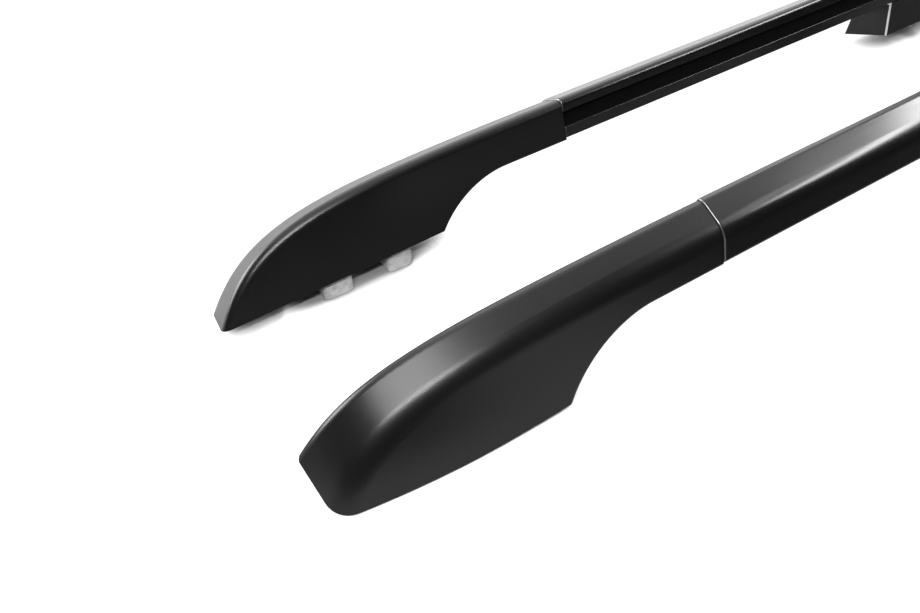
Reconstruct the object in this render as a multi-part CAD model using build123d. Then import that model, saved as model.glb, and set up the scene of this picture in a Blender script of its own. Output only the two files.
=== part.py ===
from build123d import *
from math import acos, cos, degrees, radians, sin, sqrt, tan
import os

# Roof side rail pair: two mirrored rails. Each is a slotted aluminium extrusion with a moulded cap and a
# cast foot at both ends, and a covered foot under its middle. Millimetres, +Z up, the front towards -X.
# Each rail is drawn upright in its own frame: x runs back from the front tip, y runs outwards from the
# inner wall, and z runs up from the inner corner of the tip. The whole rail is then leant outwards.

# The pair as it stands
OVERALL_LENGTH = 1540.0
INNER_SPACING = 120.0
TIP_HEIGHT = 19.0
LEAN = 11.1

# Rail extrusion: a hollow section with a clamp slot along its inner wall
RAIL_BOTTOM = 38.6
RAIL_HEIGHT = 34.4
RAIL_WIDTH = 40.2
RAIL_WALL = 2.4
TOP_FALL = 15.8
WALL_SLOPE = 22.3
SHOULDER_RADIUS = 20.0
TOP_EDGE_RADIUS = 5.0
BOTTOM_EDGE_RADIUS = 3.6
INNER_EDGE_RADIUS = 1.4
RAIL_END_RADIUS = 1.2
SLOT_RISE = 9.8
SLOT_HEIGHT = 13.0
SLOT_DEPTH = 9.0
SLOT_UNDERCUT = 2.0
SLOT_LIP_RADIUS = 0.6

# Moulded end cap: nose, rim, arch, and the seam where it meets the rail
CAP_LENGTH = 300.0
CAP_WALL = 3.0
CAP_TOP_STEP = 1.1
CAP_SIDE_STEP = 1.2
CAP_BOTTOM_STEP = 2.0
CAP_EDGE_RADIUS = 5.8
SEAM_RAKE = 5.2
SEAM_GAP = 0.2
NOSE_ANGLE = 60.0
NOSE_PULL = 80.0
NOSE_CONTROLS = ((76.0, 71.4), (228.0, 67.5))
CREST_PULL = 160.0
BASE_FALL = 8.9
RIM_RISE = 1.4
BOW_LENGTH = 130.0
BOW_RADIUS = 820.0
ARCH_CENTRE = 245.0
ARCH_RADIUS = 75.0
ARCH_SWEEP = 6.0
ARCH_OUTER_RADIUS = 3.0
ARCH_INNER_RADIUS = 1.8

# Cast end foot: a plate under the cap, two lugs, and an arm that ends in a tongue inside the rail
PLATE_START = 54.0
PLATE_BOTTOM = 5.0
PLATE_THICKNESS = 9.0
PLATE_INNER = 9.0
PLATE_WIDTH = 32.0
ARM_ROOT = 140.0
ARM_SHOULDER = 214.0
TONGUE_REACH = 62.0
TONGUE_WIDTH = 16.0
TONGUE_HEIGHT = 15.0
TONGUE_SIDE_GAP = 0.6
TONGUE_END_GAP = 4.0
LUG_CENTRES = (92.0, 145.0)
LUG_LENGTHS = (24.5, 22.0)
LUG_INNER = 6.4
LUG_WIDTH = 37.5
LUG_DEPTH_IN_PLATE = 4.0
LUG_TOE = 6.0
LUG_TOE_HEIGHT = 2.0
LUG_CORNER_RADIUS = 4.0
LUG_EDGE_RADIUS = 1.0
TAPPED_RADIUS = 3.4
TAPPED_DEPTH = 18.0
FOOT_CLEARANCE = 2.6

# Covered centre foot: an angle and a moulded cover round a cast block, and a tapped plate in the rail
CENTRE_LENGTH = 140.0
CENTRE_TOP_WIDTH = 36.0
CENTRE_RIM = 6.7
CENTRE_FLARE = 17.0
CENTRE_COVER_WALL = 3.0
CENTRE_CORNER_RADIUS = 2.5
BRACKET_THICKNESS = 2.2
FLANGE_LENGTH = 100.0
FLANGE_THICKNESS = 8.0
FLANGE_SIDE_GAP = 1.5
CENTRE_LUG_LENGTH = 30.0
CENTRE_LUG_WIDTH = 24.0
CENTRE_LUG_HEIGHT = 12.0
NUT_PLATE_LENGTH = 96.0
NUT_PLATE_THICKNESS = 5.0

# Screws, and the holes that take them
CAP_SCREW_RADIUS = 2.4
CAP_SCREW_LENGTH = 22.0
CAP_SCREW_SPOTS = (64.0, 119.0)
CAP_BOSS_WALL = 2.6
RAIL_SCREW_RADIUS = 2.9
TONGUE_SCREW_LENGTH = 14.0
TONGUE_SCREW_SPOTS = (20.0, 46.0)
CENTRE_SCREW_SPACING = 70.0
HEAD_FACTOR = 1.8
HEAD_HEIGHT = 3.0
SOCKET_FACTOR = 0.7
SOCKET_DEPTH = 1.8
THREAD_CLEARANCE = 0.08
HOLE_CLEARANCE = 0.35
BLIND_CLEARANCE = 1.5

# Worked out from the sizes above
CUT = CAP_LENGTH
RAIL_TOP = RAIL_BOTTOM + RAIL_HEIGHT
TOP_TAN = tan(radians(TOP_FALL))
WALL_TAN = tan(radians(WALL_SLOPE))
FLARE_TAN = tan(radians(CENTRE_FLARE))
RAKE_TAN = tan(radians(SEAM_RAKE))
SWEEP_TAN = tan(radians(ARCH_SWEEP))
BASE_NORMAL = (-tan(radians(RIM_RISE)), tan(radians(BASE_FALL)), 1)
HOLLOW_FLOOR = RAIL_BOTTOM + RAIL_WALL
TONGUE_INNER = SLOT_DEPTH + RAIL_WALL + TONGUE_SIDE_GAP
TONGUE_OUTER = TONGUE_INNER + TONGUE_WIDTH
TONGUE_MIDDLE = TONGUE_INNER + TONGUE_WIDTH / 2
PLATE_TOP = PLATE_BOTTOM + PLATE_THICKNESS
PLATE_MIDDLE = PLATE_INNER + PLATE_WIDTH / 2
NECK_BOTTOM = RAIL_BOTTOM - CAP_BOTTOM_STEP
ARCH_LEVEL = NECK_BOTTOM - ARCH_RADIUS
CENTRE = OVERALL_LENGTH / 2
CENTRE_COVER_TOP = RAIL_BOTTOM - BRACKET_THICKNESS
FLANGE_TOP = CENTRE_COVER_TOP - CENTRE_COVER_WALL
FLANGE_BOTTOM = FLANGE_TOP - FLANGE_THICKNESS
CENTRE_SCREW_SPOTS = (CENTRE - CENTRE_SCREW_SPACING / 2, CENTRE + CENTRE_SCREW_SPACING / 2)


def side_face(lines, y):
    """Face drawn as seen from the side, x along and z up, at a place across the rail."""
    return (Plane.XZ.offset(-y) * make_face(lines)).face()


def cross_face(points, x):
    """Straight-sided face drawn across the rail, y outwards and z up, at a place along it."""
    return (Plane.YZ.offset(x) * make_face(Polyline(*points, close=True))).face()


def box_between(x, y, z):
    """Box from three pairs of lowest and highest values."""
    size = [high - low for low, high in (x, y, z)]
    middle = [(high + low) / 2 for low, high in (x, y, z)]
    return Pos(*middle) * Box(*size)


def upright_rod(radius, x, y, bottom, top):
    """Round rod along z."""
    return Pos(x, y, (bottom + top) / 2) * Cylinder(radius, top - bottom)


def level(shape):
    """Turn a shape drawn level with the floor into the frame of the leaning rail."""
    return Rot(X=LEAN) * shape


def below(origin, normal):
    """Large block under a tilted plane."""
    return Plane(origin=origin, z_dir=normal).location * Pos(Z=-CUT) * Box(4 * CUT, 4 * CUT, 2 * CUT)


def seam_at(z):
    """Place of the raked seam along the rail at a height."""
    return CAP_LENGTH + RAKE_TAN * (RAIL_TOP - z)


def ahead_of_seam(gap):
    """Everything ahead of the seam, less a gap."""
    points = [(-CUT, -CUT), (seam_at(-CUT) - gap, -CUT), (seam_at(CUT) - gap, CUT), (-CUT, CUT)]
    return Solid.extrude(side_face(Polyline(*points, close=True), -CUT), Vector(0, 2 * CUT, 0))


def shared_edges(solid, first, second):
    """Edges where a face of the first kind meets a face of the second kind."""
    of_first = [edge for face in solid.faces() if first(face) for edge in face.edges()]
    of_second = [edge for face in solid.faces() if second(face) for edge in face.edges()]
    return [edge for edge in of_first if any(edge.is_same(other) for other in of_second)]


def faces_outwards(face):
    return face.normal_at().Y > 0.8


def faces_inwards(face):
    return face.normal_at().Y < -0.9


def faces_up_or_ahead(face):
    return abs(face.normal_at().Y) < 0.6 and face.normal_at().Z > 0.1


def faces_along(face):
    return abs(face.normal_at().X) > 0.9


def faces_arch(face):
    return -0.2 < face.normal_at().Y < 0.3 and face.normal_at().Z < 0.1 and face.center().X < CAP_LENGTH


# Rail extrusion

def rail_profile(inset):
    """Rail section at x = 0, moved inwards all round, with its four corners rounded."""
    top = RAIL_TOP - inset / cos(radians(TOP_FALL))
    bottom = RAIL_BOTTOM + inset
    wall = RAIL_WIDTH - inset / cos(radians(WALL_SLOPE))
    crest = (top - TOP_TAN * (wall + RAIL_BOTTOM * WALL_TAN)) / (1 - TOP_TAN * WALL_TAN)
    corners = [
        (inset, bottom, INNER_EDGE_RADIUS),
        (inset, top - TOP_TAN * inset, TOP_EDGE_RADIUS),
        (wall - WALL_TAN * (crest - RAIL_BOTTOM), crest, SHOULDER_RADIUS),
        (wall - WALL_TAN * inset, bottom, BOTTOM_EDGE_RADIUS),
    ]
    face = cross_face([(y, z) for y, z, _ in corners], 0)
    for y, z, radius in corners:
        if radius > inset:
            corner = face.vertices().sort_by_distance((0, y, z))[0]
            face = face.fillet_2d(radius - inset, [corner])
    return face


def make_rail():
    """Hollow extrusion, cut to the raked seam at both ends, with its slot channel and screw holes."""
    run = Vector(OVERALL_LENGTH, 0, 0)
    slot_bottom = RAIL_BOTTOM + SLOT_RISE
    slot_top = slot_bottom + SLOT_HEIGHT
    whole = (0, OVERALL_LENGTH)
    channel = box_between(whole, (0, SLOT_DEPTH + RAIL_WALL),
                          (slot_bottom - SLOT_UNDERCUT - RAIL_WALL, slot_top + SLOT_UNDERCUT + RAIL_WALL))
    mouth = box_between(whole, (-RAIL_WALL, SLOT_DEPTH), (slot_bottom, slot_top))
    pocket = box_between(whole, (RAIL_WALL, SLOT_DEPTH),
                         (slot_bottom - SLOT_UNDERCUT, slot_top + SLOT_UNDERCUT))
    cap_space = ahead_of_seam(0)
    outside = (Solid.extrude(rail_profile(0), run) - cap_space - to_rear(cap_space)).solid()
    rims = [edge for end in outside.faces() if faces_along(end) for edge in end.edges()]
    outside = outside.fillet(RAIL_END_RADIUS, rims)
    hollow = Solid.extrude(rail_profile(RAIL_WALL), run) - channel
    rail = (outside - hollow - mouth - pocket).solid()
    lips = [edge for edge in rail.edges().filter_by(Axis.X)
            if abs(edge.center().Y) < THREAD_CLEARANCE
            and min(abs(edge.center().Z - z) for z in (slot_bottom, slot_top)) < THREAD_CLEARANCE]
    rail = rail.fillet(SLOT_LIP_RADIUS, lips)
    holes = [CAP_LENGTH + spot for spot in TONGUE_SCREW_SPOTS]
    holes += [OVERALL_LENGTH - hole for hole in holes]
    holes += CENTRE_SCREW_SPOTS
    for x in holes:
        rail -= screw_hole(RAIL_SCREW_RADIUS + HOLE_CLEARANCE, x, TONGUE_MIDDLE, RAIL_BOTTOM, HOLLOW_FLOOR)
    return rail


# End cap

def nose_block(inset):
    """Cap seen from the side: a straight nose, then one curve back to the seam; the top falls outwards."""
    drop = inset / cos(radians(TOP_FALL)) + TOP_TAN * inset
    back = (inset - drop * cos(radians(NOSE_ANGLE))) / sin(radians(NOSE_ANGLE))
    tip = Vector(back, -drop)
    nose = Vector(cos(radians(NOSE_ANGLE)), sin(radians(NOSE_ANGLE)))
    low = tip - nose * RAIL_TOP
    seam = Vector(CAP_LENGTH, RAIL_TOP - CAP_TOP_STEP - drop)
    end = seam + Vector(RAIL_WIDTH, 0)
    controls = [tip + Vector(*point) for point in NOSE_CONTROLS]
    crest = Bezier(tip, tip + nose * NOSE_PULL, *controls, seam - Vector(CREST_PULL, 0), seam)
    lines = [Line(low, tip), crest, Line(seam, end), Polyline(end, (end.X, low.Y), low)]
    return Solid.extrude(side_face(Curve() + lines, inset), Vector(0, CUT, -CUT * TOP_TAN))


def wall_block(inset):
    """Everything inside the sloping outer wall, which bows inwards towards the nose."""
    width = RAIL_WIDTH - (CAP_SIDE_STEP + inset) / cos(radians(WALL_SLOPE))
    front = -RAIL_WIDTH
    back = CAP_LENGTH + 2 * RAIL_WIDTH
    bow = BOW_RADIUS - sqrt(BOW_RADIUS ** 2 - (BOW_LENGTH - front) ** 2)
    bow_angle = 90 - Vector(BOW_LENGTH - front, 0).get_angle(Vector(BOW_LENGTH - front, BOW_RADIUS - bow))
    bowed = CenterArc((BOW_LENGTH, width - BOW_RADIUS), BOW_RADIUS, 90, bow_angle)
    rest = Polyline(bowed @ 1, (front, -CUT), (back, -CUT), (back, width), bowed @ 0)
    low = Pos(Y=(RAIL_BOTTOM + CUT) * WALL_TAN, Z=-CUT) * make_face(Curve() + [bowed, rest])
    return Solid.extrude(low.face(), Vector(0, -2 * CUT * WALL_TAN, 2 * CUT))


def arch_block(inset):
    """Cutter across the rail: the round arch behind the heel, and all below the neck."""
    radius = ARCH_RADIUS + inset
    arch = CenterArc((ARCH_CENTRE, ARCH_LEVEL), radius, 90, 90)
    back = CAP_LENGTH + 2 * RAIL_WIDTH
    rest = Polyline(arch @ 1, (ARCH_CENTRE - radius, -CUT), (back, -CUT), (back, ARCH_LEVEL + radius),
                    arch @ 0)
    start = Pos(X=CUT * SWEEP_TAN) * side_face(Curve() + [arch, rest], -CUT)
    return Solid.extrude(start.face(), Vector(-2 * CUT * SWEEP_TAN, 2 * CUT, 0))


def cap_form(inset):
    """Closed form of the cap before its rim and seam are cut, moved inwards all round."""
    form = (nose_block(inset) & wall_block(inset)).solid()
    shoulder = shared_edges(form, faces_up_or_ahead, faces_outwards)
    form = form.fillet(SHOULDER_RADIUS - inset, shoulder).solid()
    form = (form - arch_block(inset)).solid()
    if inset == 0:
        form = form.fillet(CAP_EDGE_RADIUS, shared_edges(form, faces_up_or_ahead, faces_inwards)).solid()
        form = form.fillet(ARCH_OUTER_RADIUS, shared_edges(form, faces_arch, faces_outwards)).solid()
        form = form.fillet(ARCH_INNER_RADIUS, shared_edges(form, faces_arch, faces_inwards)).solid()
    return form


def make_cap():
    """Shell open below and at the seam, with two bosses that stand on the foot's plate."""
    outside = cap_form(0) - below((0, 0, 0), BASE_NORMAL)
    outside = outside & ahead_of_seam(SEAM_GAP)
    cap = outside - cap_form(CAP_WALL)
    for x in CAP_SCREW_SPOTS:
        boss = upright_rod(CAP_SCREW_RADIUS + CAP_BOSS_WALL, x, PLATE_MIDDLE, PLATE_TOP, RAIL_TOP)
        cap += boss & outside
    for x in CAP_SCREW_SPOTS:
        end = PLATE_BOTTOM + CAP_SCREW_LENGTH + BLIND_CLEARANCE
        cap -= upright_rod(CAP_SCREW_RADIUS + THREAD_CLEARANCE, x, PLATE_MIDDLE, PLATE_TOP, end)
    return cap


# End foot

def make_lug(centre, length):
    """Lug drawn level: a rounded block on the floor with a thin toe outwards and a tapped hole."""
    ends = (centre - length / 2, centre + length / 2)
    outer = LUG_INNER + LUG_WIDTH
    block = box_between(ends, (LUG_INNER, outer), (-TIP_HEIGHT, LUG_DEPTH_IN_PLATE))
    block = fillet(block.edges().filter_by(Axis.Z), LUG_CORNER_RADIUS)
    toe = box_between(ends, (outer - LUG_WIDTH / 2, outer + LUG_TOE),
                      (-TIP_HEIGHT, LUG_TOE_HEIGHT - TIP_HEIGHT))
    toe = fillet(toe.edges().filter_by(Axis.Z).group_by(Axis.Y)[-1], LUG_CORNER_RADIUS)
    hole = upright_rod(TAPPED_RADIUS, centre, LUG_INNER + LUG_WIDTH / 2,
                       -TIP_HEIGHT, TAPPED_DEPTH - TIP_HEIGHT)
    lug = block + toe
    lug = fillet(lug.edges().group_by(Axis.Z)[0], LUG_EDGE_RADIUS)
    return lug, hole


def make_foot():
    """Casting: plate, two lugs, and an arm that follows the arch and ends in the tongue."""
    plate_back = ARM_ROOT + PLATE_THICKNESS
    under = ARCH_RADIUS + CAP_WALL + FOOT_CLEARANCE
    arm_centre = ARCH_CENTRE - SWEEP_TAN * TONGUE_OUTER
    spread = acos((PLATE_BOTTOM - ARCH_LEVEL) / under)
    curve = CenterArc((arm_centre, ARCH_LEVEL), under, 90, degrees(spread))
    seat = seam_at(HOLLOW_FLOOR) + TONGUE_END_GAP
    end = CAP_LENGTH + TONGUE_REACH
    tongue_top = HOLLOW_FLOOR + TONGUE_HEIGHT
    rest = Polyline(curve @ 0, (seat, ARCH_LEVEL + under), (seat, HOLLOW_FLOOR), (end, HOLLOW_FLOOR),
                    (end, tongue_top), (ARM_SHOULDER, tongue_top), (ARM_ROOT, PLATE_TOP),
                    (ARM_ROOT, PLATE_BOTTOM), curve @ 1)
    arm = Solid.extrude(side_face(Curve() + [curve, rest], TONGUE_INNER), Vector(0, TONGUE_WIDTH, 0))
    plate = box_between((PLATE_START, plate_back), (PLATE_INNER, PLATE_INNER + PLATE_WIDTH),
                        (PLATE_BOTTOM, PLATE_TOP))
    plate = fillet(plate.edges().filter_by(Axis.Z), LUG_CORNER_RADIUS)
    foot = plate + arm
    holes = []
    for centre, length in zip(LUG_CENTRES, LUG_LENGTHS):
        lug, hole = make_lug(centre, length)
        foot += level(lug)
        holes.append(level(hole))
    for x in CAP_SCREW_SPOTS:
        holes.append(screw_hole(CAP_SCREW_RADIUS + HOLE_CLEARANCE, x, PLATE_MIDDLE, PLATE_BOTTOM, PLATE_TOP))
    for spot in TONGUE_SCREW_SPOTS:
        holes.append(upright_rod(RAIL_SCREW_RADIUS + THREAD_CLEARANCE, CAP_LENGTH + spot, TONGUE_MIDDLE,
                                 HOLLOW_FLOOR, RAIL_BOTTOM + TONGUE_SCREW_LENGTH + BLIND_CLEARANCE))
    for hole in holes:
        foot -= hole
    return foot


# Centre foot

def centre_block(inner, top, narrower, shorter):
    """Block under the rail's middle, drawn in from its outer wall and its ends, down past the rim."""
    width = CENTRE_TOP_WIDTH - narrower / cos(radians(CENTRE_FLARE))
    deep = top + RAIL_TOP
    points = [(inner, top), (width + FLARE_TAN * (RAIL_BOTTOM - top), top),
              (width + FLARE_TAN * (RAIL_BOTTOM - top + deep), top - deep), (inner, top - deep)]
    start = CENTRE - CENTRE_LENGTH / 2 + shorter
    return Solid.extrude(cross_face(points, start), Vector(CENTRE_LENGTH - 2 * shorter, 0, 0))


def below_centre_rim():
    return below((CENTRE, 0, CENTRE_RIM), (0, tan(radians(BASE_FALL)), 1))


def centre_holes(bottom, top, radius):
    """Row of holes for the centre screws through one piece."""
    return [screw_hole(radius, x, TONGUE_MIDDLE, bottom, top) for x in CENTRE_SCREW_SPOTS]


def make_centre_bracket():
    """Length of angle: one leg under the rail, the other hanging flush with the rail's inner wall."""
    ends = (CENTRE - CENTRE_LENGTH / 2, CENTRE + CENTRE_LENGTH / 2)
    under = box_between(ends, (0, CENTRE_TOP_WIDTH), (CENTRE_COVER_TOP, RAIL_BOTTOM))
    hanging = box_between(ends, (0, BRACKET_THICKNESS), (-CENTRE_RIM, RAIL_BOTTOM))
    bracket = under + hanging - below_centre_rim()
    for hole in centre_holes(CENTRE_COVER_TOP, RAIL_BOTTOM, RAIL_SCREW_RADIUS + HOLE_CLEARANCE):
        bracket -= hole
    return bracket


def make_centre_cover():
    """Moulded cover, open below, that stands against the angle."""
    cover = centre_block(BRACKET_THICKNESS, CENTRE_COVER_TOP, 0, 0)
    cover = cover.fillet(CENTRE_CORNER_RADIUS, shared_edges(cover, faces_outwards, faces_along))
    wall = CENTRE_COVER_WALL
    inside = centre_block(BRACKET_THICKNESS + wall, FLANGE_TOP, wall, wall)
    cover = cover - inside - below_centre_rim()
    for hole in centre_holes(FLANGE_TOP, CENTRE_COVER_TOP, RAIL_SCREW_RADIUS + HOLE_CLEARANCE):
        cover -= hole
    return cover


def make_centre_foot():
    """Casting inside the cover: a flange under the cover's top and one lug with a tapped hole."""
    inner = BRACKET_THICKNESS + CENTRE_COVER_WALL + FLANGE_SIDE_GAP
    outer = CENTRE_TOP_WIDTH - CENTRE_COVER_WALL / cos(radians(CENTRE_FLARE)) - FLANGE_SIDE_GAP
    flange = box_between((CENTRE - FLANGE_LENGTH / 2, CENTRE + FLANGE_LENGTH / 2), (inner, outer),
                         (FLANGE_BOTTOM, FLANGE_TOP))
    flange = fillet(flange.edges().filter_by(Axis.Z), LUG_CORNER_RADIUS)
    bottom = CENTRE_LUG_HEIGHT - TIP_HEIGHT
    heart = Vector(0, (inner + outer) / 2, (FLANGE_BOTTOM + FLANGE_TOP) / 2).rotate(Axis.X, -LEAN)
    middle = heart.Y
    lug = box_between((CENTRE - CENTRE_LUG_LENGTH / 2, CENTRE + CENTRE_LUG_LENGTH / 2),
                      (middle - CENTRE_LUG_WIDTH / 2, middle + CENTRE_LUG_WIDTH / 2), (bottom, heart.Z))
    lug = fillet(lug.edges().filter_by(Axis.Z), LUG_CORNER_RADIUS)
    foot = flange + level(lug)
    foot -= level(upright_rod(TAPPED_RADIUS, CENTRE, middle, bottom, bottom + TAPPED_DEPTH))
    for hole in centre_holes(FLANGE_BOTTOM, FLANGE_TOP, RAIL_SCREW_RADIUS + HOLE_CLEARANCE):
        foot -= hole
    return foot


def make_nut_plate():
    """Tapped steel plate that lies on the floor of the rail's hollow."""
    top = HOLLOW_FLOOR + NUT_PLATE_THICKNESS
    plate = box_between((CENTRE - NUT_PLATE_LENGTH / 2, CENTRE + NUT_PLATE_LENGTH / 2),
                        (TONGUE_INNER, TONGUE_OUTER), (HOLLOW_FLOOR, top))
    for hole in centre_holes(HOLLOW_FLOOR, top, RAIL_SCREW_RADIUS + THREAD_CLEARANCE):
        plate -= hole
    return plate


# Screws

def screw_hole(radius, x, y, bottom, top):
    return upright_rod(radius, x, y, bottom - HOLE_CLEARANCE, top + HOLE_CLEARANCE)


def make_screw(radius, length, x, y, seat):
    """Round-headed screw with a hexagon socket, driven upwards against its seat."""
    head = upright_rod(HEAD_FACTOR * radius, x, y, seat - HEAD_HEIGHT, seat)
    socket_face = Pos(x, y, seat - HEAD_HEIGHT) * RegularPolygon(SOCKET_FACTOR * radius, 6)
    socket = Solid.extrude(socket_face.face(), Vector(0, 0, SOCKET_DEPTH))
    return head + upright_rod(radius, x, y, seat, seat + length) - socket


def cap_screws():
    return [make_screw(CAP_SCREW_RADIUS, CAP_SCREW_LENGTH, x, PLATE_MIDDLE, PLATE_BOTTOM)
            for x in CAP_SCREW_SPOTS]


def tongue_screws():
    return [make_screw(RAIL_SCREW_RADIUS, TONGUE_SCREW_LENGTH, CAP_LENGTH + spot, TONGUE_MIDDLE, RAIL_BOTTOM)
            for spot in TONGUE_SCREW_SPOTS]


def centre_screws():
    length = HOLLOW_FLOOR + NUT_PLATE_THICKNESS - FLANGE_BOTTOM
    return [make_screw(RAIL_SCREW_RADIUS, length, x, TONGUE_MIDDLE, FLANGE_BOTTOM)
            for x in CENTRE_SCREW_SPOTS]


# Assembly

def to_rear(shape):
    """The same piece for the rear end of the rail."""
    return mirror(shape, about=Plane.YZ.offset(CENTRE))


def stand(shape, side):
    """Lean a piece outwards and put it on its side of the pair."""
    placed = Pos(-CENTRE, INNER_SPACING / 2, TIP_HEIGHT) * Rot(X=-LEAN) * shape
    return placed if side == "right" else mirror(placed, about=Plane.XZ)


def group(shapes):
    """One compound of separate solids."""
    return Compound([solid for shape in shapes for solid in shape.solids()])


end_pieces = {
    "cap": [make_cap()],
    "foot": [make_foot()],
    "cap_screws": cap_screws(),
    "tongue_screws": tongue_screws(),
}
pieces = {
    "rail": [make_rail()],
    "centre_bracket": [make_centre_bracket()],
    "centre_cover": [make_centre_cover()],
    "centre_foot": [make_centre_foot()],
    "centre_nut_plate": [make_nut_plate()],
    "centre_screws": centre_screws(),
}
for name, shapes in end_pieces.items():
    pieces["front_" + name] = shapes
    pieces["rear_" + name] = [to_rear(shape) for shape in shapes]

os.makedirs("parts", exist_ok=True)
for side in ("left", "right"):
    for name, shapes in pieces.items():
        placed = group([stand(shape, side) for shape in shapes])
        export_step(placed, f"parts/{side}_{name}.step")
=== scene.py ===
import math
import bpy
from mathutils import Matrix, Vector

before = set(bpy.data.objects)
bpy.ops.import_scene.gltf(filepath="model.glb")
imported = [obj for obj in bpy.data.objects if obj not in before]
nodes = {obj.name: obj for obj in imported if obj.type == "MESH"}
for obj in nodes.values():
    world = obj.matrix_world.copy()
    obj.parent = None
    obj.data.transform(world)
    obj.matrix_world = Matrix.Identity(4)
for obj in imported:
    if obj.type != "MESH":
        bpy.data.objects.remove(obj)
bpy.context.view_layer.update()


# Cast end feet
# Each end of a rail stands on a bare aluminium casting: a plate with two lugs, and an arm that runs up into
# the rail. The casting is shot-blasted, so it is matt and light grey, with fine pits and darker patches.

class Wire:
    """An output socket of a material's node tree; sums on wires add Math nodes."""

    def __init__(self, tree, socket=None):
        self.tree = tree
        self.socket = socket

    def node(self, kind, settings, sockets, output=0):
        """Add a node, and return the wire that leaves it."""
        made = self.tree.nodes.new(kind)
        for name, value in settings.items():
            setattr(made, name, value)
        for name, value in sockets.items():
            if isinstance(value, Wire):
                self.tree.links.new(value.socket, made.inputs[name])
            else:
                made.inputs[name].default_value = value
        return Wire(self.tree, made.outputs[output] if made.outputs else None)

    def math(self, operation, one, two):
        return self.node("ShaderNodeMath", {"operation": operation}, {0: one, 1: two})

    def __add__(self, other):
        return self.math("ADD", self, other)

    def __sub__(self, other):
        return self.math("SUBTRACT", self, other)

    def __rsub__(self, other):
        return self.math("SUBTRACT", other, self)

    def __mul__(self, other):
        return self.math("MULTIPLY", self, other)

    def __abs__(self):
        return self.math("ABSOLUTE", self, 0.0)

    __radd__ = __add__
    __rmul__ = __mul__

    def between(self, low, high):
        """0 below low, 1 above high, and a smooth rise in between."""
        return self.node("ShaderNodeMapRange", {"interpolation_type": "SMOOTHSTEP"},
                         {"Value": self, "From Min": low, "From Max": high})

    def axis(self, letter):
        """The X, Y or Z of a place or direction."""
        return self.node("ShaderNodeSeparateXYZ", {}, {0: self}, output=letter)

    def stretched(self, x, y, z):
        return self.node("ShaderNodeVectorMath", {"operation": "MULTIPLY"}, {0: self, 1: (x, y, z)})

    def noise(self, scale, detail=2.0, roughness=0.5):
        return self.node("ShaderNodeTexNoise", {},
                         {"Vector": self, "Scale": scale, "Detail": detail, "Roughness": roughness})

    def cells(self, scale):
        return self.node("ShaderNodeTexVoronoi", {}, {"Vector": self, "Scale": scale})

    def blend(self, dark, light):
        """A colour that goes from dark to light with this wire."""
        return self.node("ShaderNodeMix", {"data_type": "RGBA"}, {0: self, 6: dark, 7: light}, output=2)

    def bump(self, strength, distance):
        return self.node("ShaderNodeBump", {}, {"Strength": strength, "Distance": distance, "Height": self})


def grey(value, warm=0.0):
    return (value * (1 + warm), value, value * (1 - warm), 1)


def new_finish(name):
    """An empty material, and the place of each point on it."""
    material = bpy.data.materials.new(name)
    material.use_nodes = True
    place = Wire(material.node_tree).node("ShaderNodeTexCoord", {}, {}, output="Object")
    return material, place


def give_finish(material, names, **sockets):
    """Set the shader's sockets, and put the material on these nodes."""
    shader = material.node_tree.nodes["Principled BSDF"]
    for name, value in sockets.items():
        socket = shader.inputs[name.replace("_", " ")]
        if isinstance(value, Wire):
            material.node_tree.links.new(value.socket, socket)
        else:
            socket.default_value = value
    for name in names:
        nodes[name].data.materials.clear()
        nodes[name].data.materials.append(material)


def on_both(*names):
    return [f"{side}_{name}" for side in ("left", "right") for name in names]


cast, place = new_finish("cast_aluminium")
patches = place.noise(190.0, detail=3.0).between(0.36, 0.64)
pits = place.cells(900.0).between(0.0, 0.35)
grain = place.noise(2200.0, detail=1.0)
give_finish(
    cast, on_both("front_foot", "rear_foot", "centre_foot"),
    Base_Color=(patches * 0.7 + pits * 0.3).blend(grey(0.42), grey(0.66)),
    Metallic=0.15,
    Roughness=0.72 - patches * 0.16,
    Normal=(grain * 0.5 + pits * 0.5).bump(strength=0.5, distance=0.0006))


# Rail extrusions
# Each rail is one length of hollow aluminium section with a clamp slot along its inner wall. It is coated in
# semi-gloss black with faint lines from the die, and was sawn to length after, so its cut ends are bare.

def bare_ends(place):
    """1 on the sawn ends and their rounded rims, which face along the rails, and 0 elsewhere."""
    facing = place.node("ShaderNodeNewGeometry", {}, {}, output="True Normal")
    return abs(facing.axis("X")).between(0.4, 0.7)


def black_coat(name, names, roughness, metal):
    """Black coat of this roughness, with sawn ends in metal of this brightness."""
    material, place = new_finish(name)
    bare = bare_ends(place)
    die_lines = place.stretched(3.0, 900.0, 900.0).noise(1.0, detail=3.0)
    saw_marks = place.stretched(20.0, 60.0, 1500.0).noise(1.0, detail=2.0)
    cloud = place.noise(18.0, detail=2.0)
    coat_colour = cloud.blend(grey(0.003), grey(0.0045))
    cut_colour = saw_marks.blend(grey(metal * 0.7), grey(metal))
    give_finish(
        material, names,
        Base_Color=bare.blend(coat_colour, cut_colour),
        Metallic=bare,
        Roughness=roughness + die_lines * 0.06 + cloud * 0.04 + bare * 0.1,
        Specular_IOR_Level=0.5,
        Normal=(die_lines * (1 - bare) * 0.3 + saw_marks * bare).bump(strength=0.12, distance=0.0002))


black_coat("rail_coat", on_both("rail"), roughness=0.16, metal=0.27)

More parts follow.
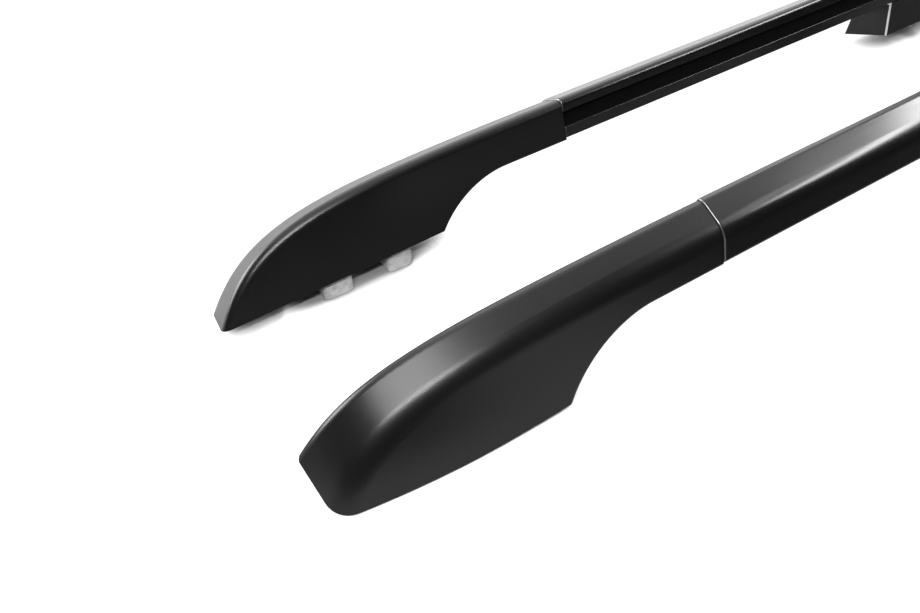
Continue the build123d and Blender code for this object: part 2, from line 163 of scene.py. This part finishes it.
# The slot's walls get a near-black, rough, low-gloss material that is painted shade for the deep slot. Each
# rail leans outwards about its inner wall, so the slot's faces are found by their depth and height in the
# leaning section.
slot_painted_shade, place = new_finish("slot_painted_shade")
# This noise only mottles the darkness and roughness of the slot's painted shade.
shade_mottle = place.stretched(8.0, 200.0, 200.0).noise(1.0, detail=3.0)
give_finish(
    slot_painted_shade, [],
    Base_Color=shade_mottle.blend(grey(0.001), grey(0.003)),
    Roughness=0.8 + shade_mottle * 0.1,
    Specular_IOR_Level=0.1)
lean = math.radians(11.1)
inner_wall = 0.06
tip_height = 0.019
slot_front, slot_back = 0.001, 0.01
slot_bottom, slot_top = 0.045, 0.065
# Put the painted shade on the faces inside each rail's slot.
for name in on_both("rail"):
    rail = nodes[name]
    rail.data.materials.append(slot_painted_shade)
    for face in rail.data.polygons:
        middle = rail.matrix_world @ face.center
        outwards = abs(middle.y) - inner_wall
        upwards = middle.z - tip_height
        depth = outwards * math.cos(lean) - upwards * math.sin(lean)
        height = outwards * math.sin(lean) + upwards * math.cos(lean)
        in_slot = slot_front < depth < slot_back and slot_bottom < height < slot_top
        if in_slot and abs(face.normal.x) < 0.3:
            face.material_index = 1


# End caps
# Moulded nylon covers that carry the rail's line down to the roof at a pointed nose. Their surface is a fine
# spark-eroded grain with a satin sheen. Screws from below pull each one down on its foot.

moulded, place = new_finish("cap_moulding")
sheen = place.noise(14.0, detail=3.0)
grain = place.noise(2600.0, detail=2.0, roughness=0.6)
specks = place.noise(320.0, detail=1.0).between(0.74, 0.8)
give_finish(
    moulded, on_both("front_cap", "rear_cap"),
    Base_Color=(sheen * 0.6 + specks * 0.4).blend(grey(0.003), grey(0.005)),
    Roughness=0.25 + sheen * 0.06 + grain * 0.05,
    Specular_IOR_Level=0.4,
    Normal=grain.bump(strength=0.1, distance=0.0002))


# Middle feet
# A short length of black angle hangs under the rail with its sawn ends bare. A moulded cover in a slightly
# warmer grey stands against it and hides the casting.

black_coat("angle_coat", on_both("centre_bracket"), roughness=0.3, metal=0.85)

cover, place = new_finish("cover_moulding")
sheen = place.noise(20.0, detail=3.0)
grain = place.noise(2200.0, detail=2.0, roughness=0.6)
give_finish(
    cover, on_both("centre_cover"),
    Base_Color=sheen.blend(grey(0.007, warm=0.04), grey(0.012, warm=0.04)),
    Roughness=0.44 + sheen * 0.08 + grain * 0.06,
    Specular_IOR_Level=0.3,
    Normal=grain.bump(strength=0.14, distance=0.0002))


# Screws and tapped plates
# Zinc-plated steel, bright with a faint yellow and blue cast from the passivation. The screws hold caps, feet
# and rails together from below, and the plates lie in the rails above the middle feet.

zinc, place = new_finish("zinc_plate")
yellow_cast = (0.52, 0.5, 0.42, 1)
blue_cast = (0.5, 0.53, 0.58, 1)
tint = place.noise(120.0, detail=2.0)
turned = place.stretched(400.0, 400.0, 2400.0).noise(1.0, detail=2.0)
give_finish(
    zinc,
    on_both("centre_screws", "centre_nut_plate", "front_cap_screws", "rear_cap_screws", "front_tongue_screws",
            "rear_tongue_screws"),
    Base_Color=tint.blend(yellow_cast, blue_cast),
    Metallic=1.0,
    Roughness=0.28 + turned * 0.14,
    Normal=turned.bump(strength=0.1, distance=0.0001))


# Floor, light and camera
# A sheet of white paper on a table, under a broad ceiling light. Two lamps hang over the near nose, a strip
# lamp with a dim tail stands along the near rail, and white panels stand behind. On the camera's side the room
# is dark, so gloss shows the white paper and the backdrop only behind the rails.

def rays(tree):
    """1 for rays from the camera, and 1 for rays that bounce off a gloss or go through glass."""
    seen, glossy, through = (Wire(tree).node("ShaderNodeLightPath", {}, {}, output=f"Is {kind} Ray")
                             for kind in ("Camera", "Glossy", "Transmission"))
    return seen, glossy + through


reach = 6.0
corners = [(-reach, -reach, 0), (reach, -reach, 0), (reach, reach, 0), (-reach, reach, 0)]
floor_mesh = bpy.data.meshes.new("floor")
floor_mesh.from_pydata(corners, [], [(0, 1, 2, 3)])
floor = bpy.data.objects.new("floor", floor_mesh)
bpy.context.scene.collection.objects.link(floor)

# The paper is white to the camera, with a soft shadow painted into its glow where a piece comes close above
# it.
# The light that it sends on to the rails is painted into its colour for other rays: dim in front but for a
# painted bright patch before the near heel, and bright behind.
paper = bpy.data.materials.new("white_paper")
paper.use_nodes = True
tree = paper.node_tree
tree.nodes.clear()
seen, mirrored = rays(tree)
spot = seen.node("ShaderNodeNewGeometry", {}, {}, output="Position")
along = spot.axis("X")
across = spot.axis("Y")
# Painted light and shade: the paper's colour for bounced rays is set by these places.
under_near_rail = across.between(-0.18, -0.125)
between_rails = across.between(-0.1, -0.03)
behind_far_rail = across.between(0.05, 0.13)
before_heel = along.between(-0.72, -0.58) * (1 - along.between(-0.55, -0.4)) * (1 - under_near_rail)
sent_on = 0.04 + before_heel * 0.25 + under_near_rail * 0.3 - between_rails * 0.2 + behind_far_rail * 0.5
matt = seen.node("ShaderNodeBsdfDiffuse", {}, {"Color": seen * (0.3 - sent_on) + sent_on})
# Painted contact shadow: the paper's glow is dimmed where a piece hides the open sky close above it.
open_sky = seen.node("ShaderNodeAmbientOcclusion", {"samples": 24}, {"Distance": 0.044}, output="AO")
distance = seen.node("ShaderNodeVectorMath", {"operation": "LENGTH"}, {0: spot}, output="Value")
far_off = distance.between(0.9, 1.8)
white = (seen + mirrored * across.between(0.15, 0.6)) * (open_sky.between(0.36, 0.62) * 0.9 + far_off * 0.1)
glow = seen.node("ShaderNodeEmission", {}, {"Color": grey(1.0), "Strength": white})
both = seen.node("ShaderNodeAddShader", {}, {0: matt, 1: glow})
both.node("ShaderNodeOutputMaterial", {}, {"Surface": both})
floor_mesh.materials.append(paper)

world = bpy.data.worlds.new("studio")
bpy.context.scene.world = world
world.use_nodes = True
tree = world.node_tree
seen, mirrored = rays(tree)
backdrop_side = seen.node("ShaderNodeTexCoord", {}, {}, output="Generated").axis("Y").between(0.1, 0.6)
background = tree.nodes["Background"].inputs
background["Color"].default_value = grey(1.0)
tree.links.new(((seen + mirrored * backdrop_side) * 0.94 + 0.06).socket, background["Strength"])


def soft_light(name, centre, aim, width, height, radiance):
    """A rectangular lamp of even brightness, 1 being as bright as white paper."""
    lamp = bpy.data.lights.new(name, "AREA")
    lamp.shape = "RECTANGLE"
    lamp.size = width
    lamp.size_y = height
    lamp.energy = radiance * width * height * math.pi
    made = bpy.data.objects.new(name, lamp)
    made.location = centre
    made.rotation_euler = (Vector(aim) - Vector(centre)).to_track_quat("-Z", "Y").to_euler()
    made.visible_camera = False
    bpy.context.scene.collection.objects.link(made)


soft_light("ceiling", (0.25, 0.22, 1.25), aim=(0.25, 0.2201, 0.0), width=3.1, height=1.35, radiance=1.5)
soft_light("key", (-0.9, -0.165, 0.56), aim=(-0.9, -0.02, 0.06), width=0.42, height=0.17, radiance=9.8)
soft_light("key_edge", (-0.895, -0.36, 0.555), aim=(-0.895, -0.1, 0.06), width=0.5, height=0.045,
           radiance=66.0)
soft_light("side", (0.25, -0.318, 0.472), aim=(-0.26, -0.088, 0.075), width=0.5, height=0.075, radiance=24.0)
soft_light("side_tail", (0.12, -0.365, 0.59), aim=(-0.35, -0.09, 0.07), width=0.3, height=0.06, radiance=5.5)
soft_light("backdrop", (0.0, 1.7, 0.7), aim=(-0.2, 0.0, 0.1), width=3.4, height=1.4, radiance=1.1)
soft_light("backdrop_top", (0.5, 1.35, 1.5), aim=(-0.2, 0.08, 0.1), width=2.4, height=1.0, radiance=1.7)
soft_light("backdrop_left", (-1.7, 1.3, 0.4), aim=(-0.65, 0.08, 0.03), width=1.0, height=0.8, radiance=10.0)

camera = bpy.data.objects.new("camera", bpy.data.cameras.new("camera"))
camera.data.sensor_fit = "HORIZONTAL"
camera.data.sensor_width = 36.0
camera.data.lens = 31.68
camera.data.clip_start = 0.01
stand = Vector((-0.8223, -0.359, 0.4251))
right = Vector((0.8429922, -0.5364698, -0.0395528))
down = Vector((-0.4050551, -0.5846664, -0.7029193))
ahead = Vector((0.3539698, 0.6085765, -0.710169))
turn = Matrix((right, -down, -ahead)).transposed().to_4x4()
camera.matrix_world = Matrix.Translation(stand) @ turn
bpy.context.scene.collection.objects.link(camera)
bpy.context.scene.camera = camera
bpy.context.scene.view_settings.view_transform = "Standard"
